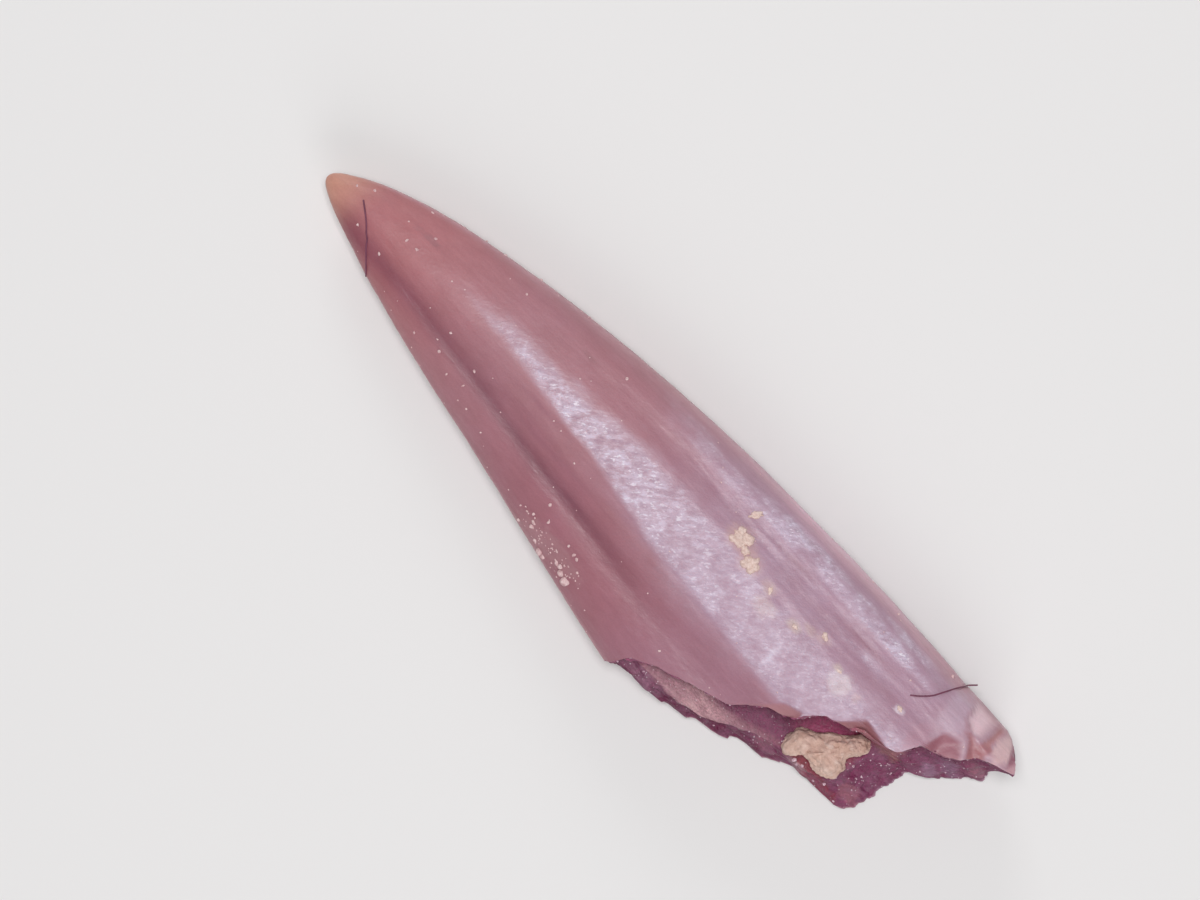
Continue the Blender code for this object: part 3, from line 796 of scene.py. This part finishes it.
def start_look(name, **settings):
    """A new look, its shader, and the object's own coordinates in mm."""
    look = bpy.data.materials.new(name)
    look.use_nodes = True
    shader = setup(look.node_tree.nodes["Principled BSDF"], **settings)
    mapping = add(shader, "ShaderNodeMapping", Scale=(1 / MM, 1 / MM, 1 / MM))
    link(add(shader, "ShaderNodeTexCoord").outputs["Object"], mapping.inputs["Vector"])
    return look, shader, mapping.outputs["Vector"]


def stored(near, name, output):
    """What the mesh's attribute of that name holds."""
    return add(near, "ShaderNodeAttribute", attribute_name=name).outputs[output]


def noise_at(where, per_mm, detail=3.0, roughness=0.55):
    made = add(where, "ShaderNodeTexNoise", Scale=per_mm, Detail=detail, Roughness=roughness)
    link(where, made.inputs["Vector"])
    return made.outputs["Fac"]


def ranged(value, low, high, to_low=0.0, to_high=1.0):
    made = add(value, "ShaderNodeMapRange")
    for key, number in (("From Min", low), ("From Max", high), ("To Min", to_low), ("To Max", to_high)):
        made.inputs[key].default_value = number
    link(value, made.inputs["Value"])
    return made.outputs["Result"]


def blend_colour(share, first, second, mode="MIX"):
    made = add(share, "ShaderNodeMix", data_type="RGBA", blend_type=mode)
    for source, socket in ((share, 0), (first, 6), (second, 7)):
        link(source, made.inputs[socket])
    return made.outputs[2]


def multiplied(colour, by, value, low, high, most):
    """The colour multiplied by another, the more so the nearer the value is to high."""
    return blend_colour(ranged(value, low, high, 0.0, most), colour, by, "MULTIPLY")


def times(first, second):
    made = add(first, "ShaderNodeMath", operation="MULTIPLY")
    link(first, made.inputs[0])
    link(second, made.inputs[1])
    return made.outputs[0]


def cover(shader, colour, bumps):
    """Gives the shader its colour and bumps one on another: (height, distance in m, strength)."""
    link(colour, shader.inputs["Base Color"])
    normal = None
    for height, distance, strength in bumps:
        made = add(shader, "ShaderNodeBump", Distance=distance)
        link(strength, made.inputs["Strength"])
        link(height, made.inputs["Height"])
        if normal is not None:
            link(normal, made.inputs["Normal"])
        normal = made.outputs["Normal"]
    link(normal, shader.inputs["Normal"])


# How light gets into the enamel: share, reach of each colour, and scale in m
LIT_THROUGH, LIT_REACH, LIT_SCALE = 0.12, (1.0, 0.45, 0.40), 1.2e-4


def enamel_look():
    """Satin fossil enamel: streaked along the tooth, and mottled with lilac patches and white glints, a
    painted highlight, where it glitters.
    """
    look, shader, where = start_look("fossil_enamel", IOR=1.5)
    setup(shader, Subsurface_Weight=LIT_THROUGH, Subsurface_Radius=LIT_REACH, Subsurface_Scale=LIT_SCALE)
    tint, glint = stored(where, "tint", "Color"), stored(where, "glint", "Fac")
    streak = noise_at(stored(where, "flow", "Vector"), 9.0, 5.0)
    cloud = noise_at(where, 3.5, 3.0)
    aslant = (0, 0, math.radians(40))
    slanted = add(where, "ShaderNodeMapping", vector_type="TEXTURE", Rotation=aslant, Scale=(1.9, 0.85, 1.0))
    link(where, slanted.inputs["Vector"])
    patch = noise_at(slanted.outputs["Vector"], 20.0, 5.0, 0.65)
    spot = noise_at(slanted.outputs["Vector"], 44.0, 2.0)
    fine = noise_at(where, 70.0, 3.0)
    wide = noise_at(where, 6.0, 2.0)
    colour = multiplied(tint, (0.86, 0.80, 0.83), streak, 0.35, 0.65, 0.45)
    colour = multiplied(colour, (1.10, 1.12, 1.16), cloud, 0.40, 0.65, 0.40)
    colour = multiplied(colour, (0.82, 0.78, 0.80), fine, 0.42, 0.60, 0.25)
    # Painted highlight: a lilac sheen with darker and paler patches and white glints, by the glint share
    painted_sheen = times(glint, ranged(wide, 0.35, 0.65, 0.35, 0.72))
    colour = blend_colour(painted_sheen, colour, LILAC)
    strong = times(glint, glint)
    dark = times(strong, ranged(patch, 0.50, 0.38, 0.0, 0.5))
    colour = blend_colour(dark, colour, LILAC_DARK)
    pale = times(strong, ranged(patch, 0.50, 0.66, 0.0, 0.8))
    colour = blend_colour(pale, colour, LILAC)
    white = times(strong, times(ranged(spot, 0.57, 0.64), ranged(wide, 0.36, 0.56)))
    colour = blend_colour(white, colour, GLITTER)
    link(ranged(patch, 0.35, 0.65, 0.52, 0.34), shader.inputs["Roughness"])
    rough = ranged(glint, 0.0, 1.0, 0.2, 1.0)
    cover(shader, colour, ((streak, 1.2e-5, 0.3), (patch, 1.6e-5, rough), (fine, 5e-6, rough)))
    return look


def dentine_look():
    """The broken face: sugary, with small pale crystal specks that also stand for painted glints."""
    look, shader, where = start_look("broken_dentine", IOR=1.55)
    mottle = noise_at(where, 16.0, 5.0)
    fine = noise_at(where, 55.0, 3.0)
    cells = add(where, "ShaderNodeTexVoronoi", Scale=32.0)
    link(where, cells.inputs["Vector"])
    colour = multiplied(stored(where, "tint", "Color"), (0.62, 0.52, 0.60), mottle, 0.38, 0.6, 0.5)
    colour = multiplied(colour, (1.6, 1.5, 1.6), fine, 0.48, 0.64, 0.5)
    # Pale crystal specks, which also stand for painted glints
    crystal = ranged(cells.outputs["Distance"], 0.22, 0.10)
    rare = ranged(noise_at(where, 18.0, 2.0), 0.54, 0.60)
    colour = blend_colour(times(times(crystal, rare), 0.8), colour, SUGAR_AND_GLINTS)
    link(ranged(fine, 0.35, 0.65, 0.32, 0.6), shader.inputs["Roughness"])
    cover(shader, colour, ((mottle, 3e-5, 0.5), (fine, 1.2e-5, 0.8)))
    return look


def sediment_look():
    look, shader, where = start_look("yellow_sediment", Roughness=0.9)
    mottle = noise_at(where, 7.0, 5.0)
    fine = noise_at(where, 40.0, 4.0)
    shades = (tone(204, 166, 150), tone(230, 200, 188))
    colour = blend_colour(ranged(mottle, 0.35, 0.65), *shades)
    colour = multiplied(colour, (0.74, 0.68, 0.64), fine, 0.40, 0.62, 0.45)
    pale = ranged(noise_at(where, 20.0, 2.0), 0.58, 0.66, 0.0, 0.6)
    colour = blend_colour(pale, colour, tone(224, 200, 190))
    cover(shader, colour, ((mottle, 4e-5, 0.5), (fine, 1.5e-5, 0.9)))
    return look


def dust_look(name, dark, pale):
    """Matt cream or white dirt."""
    look, shader, where = start_look(name, Roughness=0.85)
    colour = blend_colour(ranged(noise_at(where, 40.0, 4.0), 0.35, 0.65), dark, pale)
    cover(shader, colour, ((noise_at(where, 70.0, 3.0), 1e-5, 0.7),))
    return look


def lint_look():
    look, shader, where = start_look("lint", Roughness=0.5)
    colour = blend_colour(noise_at(where, 12.0, 3.0), tone(84, 24, 54), tone(136, 76, 100))
    link(colour, shader.inputs["Base Color"])
    return look


# Smears of sediment on the upper face: (from the apex, across, length, breadth, turn in degrees, thickness)
SMEARS = (
    (4.345, 0.605, 0.055, 0.026, 50, 0.018),
    (4.395, 0.375, 0.082, 0.055, 15, 0.026),
    (4.48, 0.345, 0.05, 0.035, -25, 0.018),
    (4.592, 0.304, 0.078, 0.07, 35, 0.028),
    (4.36, 0.415, 0.048, 0.052, 5, 0.022),
    (4.44, 0.425, 0.044, 0.042, 10, 0.022),
    (4.85, 0.265, 0.03, 0.018, -60, 0.009),
    (5.19, 0.21, 0.024, 0.016, 10, 0.008),
    (5.41, 0.33, 0.034, 0.026, -50, 0.016),
    (5.69, 0.22, 0.03, 0.014, 10, 0.008),
    (6.24, 0.355, 0.024, 0.02, 0, 0.014),
)
SMEAR_RINGS, SMEAR_AROUND = 12, 56
# How square the smears are, how ragged at the edge, how lumpy on top, and how deep the rims go, in mm
SQUARENESS, RAGGEDNESS, LUMPINESS, BURIED = 2.5, 0.45, 0.5, 0.012


def smear_mesh():
    """Thin, ragged pads that follow the enamel, joined in one mesh."""
    points, faces = [], []
    around = 2 * math.pi * np.arange(SMEAR_AROUND) / SMEAR_AROUND
    squarish = np.abs(np.cos(around)) ** SQUARENESS + np.abs(np.sin(around)) ** SQUARENESS
    squarish = squarish ** (-1 / SQUARENESS)
    k = np.arange(SMEAR_AROUND)
    after = (k + 1) % SMEAR_AROUND
    for from_apex, across, length, breadth, turned, thick in SMEARS:
        first = len(points)
        circle = np.array((from_apex, across, 0.0)) + 0.1 * ring(0.0, np.cos(around), np.sin(around))
        ragged = squarish * (1 + RAGGEDNESS * lumps(circle, 0.07, 4))
        tilt = math.radians(turned)
        for row in range(SMEAR_RINGS + 2):
            t = max(min(row / SMEAR_RINGS, 1.0), 0.02)
            u, v = t * ragged * length * np.cos(around), t * ragged * breadth * np.sin(around)
            x = from_apex + u * math.cos(tilt) - v * math.sin(tilt)
            y = across + u * math.sin(tilt) + v * math.cos(tilt)
            lift = thick * (1 + LUMPINESS * lumps(ring(x, y, 0 * x), 0.04, 3)) * math.sqrt(1 - t**4)
            if row > SMEAR_RINGS:
                lift = lift - BURIED
            points += ring(x, y, upper_height(x, y) + lift).tolist()
            if row:
                low, high = first + (row - 1) * SMEAR_AROUND, first + row * SMEAR_AROUND
                faces += np.stack([low + k, high + k, high + after, low + after], axis=1).tolist()
        faces.append(list(range(first, first + SMEAR_AROUND)))
        faces.append(list(range(len(points) - 1, len(points) - 1 - SMEAR_AROUND, -1)))
    return new_mesh("sediment_smears", points, faces)


# Crumbs that show: (from the apex, across, radius)
CRUMBS = (
    (3.36, -0.84, 0.036), (3.41, -0.85, 0.026), (3.56, -0.805, 0.024), (3.6, -0.835, 0.03),
    (3.67, -0.85, 0.038), (3.52, -0.805, 0.02), (3.16, -0.715, 0.018), (3.17, -0.745, 0.022),
    (3.06, -0.785, 0.02), (3.27, -0.805, 0.016), (3.49, -0.64, 0.016), (3.57, -0.66, 0.017),
    (3.61, -0.668, 0.013), (3.15, -0.52, 0.016), (3.11, -0.665, 0.014), (3.24, -0.625, 0.014),
    (3.69, -0.74, 0.014), (0.36, 0.215, 0.014), (0.23, 0.14, 0.011), (0.83, 0.125, 0.014),
    (0.94, 0.13, 0.014), (0.75, -0.11, 0.013), (0.46, -0.072, 0.01), (0.98, 0.3, 0.01), (0.73, 0.24, 0.008),
    (0.81, 0.425, 0.013), (1.32, 0.155, 0.008), (2.85, 0.62, 0.018), (1.81, 0.515, 0.013),
    (1.61, -0.135, 0.011), (1.96, -0.215, 0.011), (1.98, -0.36, 0.011), (1.65, -0.305, 0.013),
    (1.57, -0.25, 0.01), (1.82, -0.39, 0.01), (2.13, -0.47, 0.01), (1.4, -0.345, 0.01), (4.59, -0.7, 0.012),
    (1.07, 0.53, 0.011), (1.27, 0.58, 0.011), (1.46, 0.61, 0.012), (1.8, 0.68, 0.013), (2.21, 0.735, 0.01),
    (5.71, 0.87, 0.016), (6.37, 0.84, 0.016),
)
# Pale crystals at the lump's lower edge: (from the apex, across, height, radius)
CRYSTALS = (
    (5.99, -0.535, 0.37, 0.02),
    (6.03, -0.55, 0.34, 0.015),
    (6.07, -0.525, 0.36, 0.014),
    (6.22, -0.545, 0.32, 0.011),
    (6.3, -0.5, 0.34, 0.013),
    (6.36, -0.23, 0.33, 0.011),
)
DUST_COUNT, DUST_RADIUS = 160, (0.004, 0.008)
CLUSTER_COUNT, CLUSTER_RADIUS, CLUSTER_MIDDLE, CLUSTER_SPREAD = 80, (0.003, 0.009), 3.42, 0.20
CRYSTAL_COUNT, CRYSTAL_RADIUS = 160, (0.004, 0.009)


def height_at(x, y):
    return upper_height(np.array([x]), np.array([y]))[0]


def dust_places(rng):
    """Where the crumbs are: those that show, fine dust all over, and more of it in the cluster."""
    places = [(x, y, height_at(x, y), radius) for x, y, radius in CRUMBS]
    for _ in range(DUST_COUNT):
        x, turn = 7.0 * rng.uniform(0.02, 0.98) ** 0.8, rng.uniform(0, 2 * math.pi)
        y, z = (float(value[0]) for value in surface(np.array([x]), np.array([turn])))
        edge = line(UPPER_BREAK if math.sin(turn) >= 0 else LOWER_BREAK, y)
        if x < edge - 0.05 and z > 0.02:
            places.append((x, y, z, rng.uniform(*DUST_RADIUS)))
    for _ in range(CLUSTER_COUNT):
        x = rng.normal(CLUSTER_MIDDLE, CLUSTER_SPREAD)
        y = max(-0.66 - 0.12 * (x - 3.0) - abs(rng.normal(0.05, 0.08)), along(LOWER_MARGIN, x) + 0.04)
        places.append((x, y, height_at(x, y), rng.uniform(*CLUSTER_RADIUS)))
    return places


def crystal_places(rng, broken):
    """Crystals on the broken face, at some of its points."""
    chosen = broken[rng.choice(len(broken), CRYSTAL_COUNT, replace=False)]
    sizes = rng.uniform(*CRYSTAL_RADIUS, CRYSTAL_COUNT)
    return list(CRYSTALS) + [(*point, size) for point, size in zip(chosen, sizes)]


def crumb_mesh(name, places, rng):
    """Small round-edged crumbs, half sunk in what they lie on, joined in one mesh."""
    ball = bmesh.new()
    bmesh.ops.create_icosphere(ball, subdivisions=2, radius=1.0)
    shape = np.array([vertex.co for vertex in ball.verts])
    sides = np.array([[vertex.index for vertex in face.verts] for face in ball.faces])
    ball.free()
    points, faces = [], []
    for x, y, z, radius in places:
        stretch = rng.uniform((0.8, 0.7, 0.4), (1.4, 1.1, 0.7))
        spin = rng.uniform(0, math.pi)
        cos, sin = math.cos(spin), math.sin(spin)
        body = shape * (1 + 0.45 * lumps(shape + (x * 9, y * 9, 0.0), 0.8, 3))[:, None] * stretch * radius
        turned = body @ np.array(((cos, sin, 0), (-sin, cos, 0), (0, 0, 1)))
        faces += (sides + len(points)).tolist()
        points += (turned + (x, y, z)).tolist()
    return new_mesh(name, points, faces)


# Lint on the tooth: (from the apex, across, height over the enamel)
LINT = {
    "lint_tip": (
        (0.35, 0.1, 0.02), (0.42, 0.05, 0.006), (0.5, -0.012, 0.0), (0.56, -0.07, -0.006),
        (0.6, -0.1, 0.0), (0.64, -0.15, 0.006), (0.72, -0.23, 0.008), (0.8, -0.315, 0.016),
    ),
    "lint_base": (
        (6.22, 0.49, 0.0), (6.29, 0.55, 0.0), (6.35, 0.62, 0.0), (6.4, 0.71, 0.0),
        (6.46, 0.81, 0.004), (6.52, 0.885, 0.02), (6.57, 0.94, 0.03),
    ),
}
LINT_RADIUS = 0.0065


def make_lint(name, route, look):
    made = bpy.data.curves.new(name, "CURVE")
    made.dimensions = "3D"
    made.bevel_depth = LINT_RADIUS * MM
    made.bevel_resolution = 2
    made.use_fill_caps = True
    steps = np.linspace(0, len(route) - 1, 12 * len(route))
    x, y, lift = smooth_route(route, steps)
    z = upper_height(x, y) + lift + LINT_RADIUS
    spline = made.splines.new("POLY")
    spline.points.add(len(steps) - 1)
    for point, here in zip(spline.points, to_row(ring(x, y, z))):
        point.co = (*here, 1.0)
    made.materials.append(look)
    lint = new_object(name, made)
    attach(lint, "root")


FLOOR_SIZE, FLOOR_GREY = 1.2, (0.80, 0.79, 0.79, 1.0)
WORLD_WHITE, WORLD_STRENGTH = (1.0, 0.99, 0.99, 1.0), 0.22
# Square lamps: (name, place in mm, side in mm, power in W)
LAMPS = (
    ("key", (-3, 2, 60), 16, 0.021),
    ("fill", (45, -30, 35), 40, 0.012),
    ("rim", (-40, 35, 22), 20, 0.006),
)


def make_floor():
    bpy.ops.mesh.primitive_plane_add(size=FLOOR_SIZE, location=(0, 0, 0))
    floor = bpy.context.object
    floor.name = "floor"
    look = bpy.data.materials.new("pale_floor")
    look.use_nodes = True
    setup(look.node_tree.nodes["Principled BSDF"], Base_Color=FLOOR_GREY, Roughness=0.9)
    floor.data.materials.append(look)


def make_lamp(name, place_mm, size_mm, power):
    """A lamp that looks at the tooth's middle."""
    data = bpy.data.lights.new(name, "AREA")
    data.size = size_mm * MM
    data.energy = power
    lamp = new_object(name, data)
    lamp.location = Vector(place_mm) * MM
    lamp.rotation_euler = (-lamp.location).to_track_quat("-Z", "Y").to_euler()


def make_world():
    world = bpy.data.worlds.new("studio")
    world.use_nodes = True
    setup(world.node_tree.nodes["Background"], Color=WORLD_WHITE, Strength=WORLD_STRENGTH)
    bpy.context.scene.world = world


# The camera's middle, in mm from the apex, across and up, how much it sees, in mm, and its turn in degrees
VIEW_MIDDLE, VIEW_WIDTH, VIEW_TURN = (3.11, 0.071, 0.6), 9.6, 46
LENS, SENSOR = 150.0, 36.0
CLIPPED = (0.001, 5.0)


def make_camera():
    """Straight above the tooth, turned so that the apex is at the upper left, as in the photograph."""
    data = bpy.data.cameras.new("camera")
    data.lens, data.sensor_width = LENS, SENSOR
    data.clip_start, data.clip_end = CLIPPED
    camera = new_object("camera", data)
    camera.location = Vector(to_row(VIEW_MIDDLE)) + Vector((0, 0, VIEW_WIDTH * MM * LENS / SENSOR))
    camera.rotation_euler = (0, 0, math.radians(VIEW_TURN))
    bpy.context.scene.camera = camera


def main():
    rng = np.random.default_rng(SEED)
    make_camera()
    broken = make_tooth((enamel_look(), dentine_look()))
    make_matrix(sediment_look())
    cream = dust_look("cream_sediment", tone(212, 182, 172), tone(234, 210, 202))
    place("sediment_smears", smear_mesh(), "sediment", cream).data.shade_smooth()
    white = dust_look("white_crumbs", tone(202, 160, 164), tone(232, 206, 206))
    crumbs = crumb_mesh("white_crumbs", dust_places(rng), rng)
    place("white_crumbs", crumbs, "sediment", white).data.shade_smooth()
    crystals = crumb_mesh("dentine_crystals", crystal_places(rng, broken), rng)
    clear = dust_look("crystals", tone(176, 136, 154), tone(226, 204, 214))
    place("dentine_crystals", crystals, "enamel", clear)
    lint = lint_look()
    for name, route in LINT.items():
        make_lint(name, route, lint)
    make_floor()
    make_world()
    for lamp in LAMPS:
        make_lamp(*lamp)
    bpy.context.scene.view_settings.view_transform = "Standard"


main()
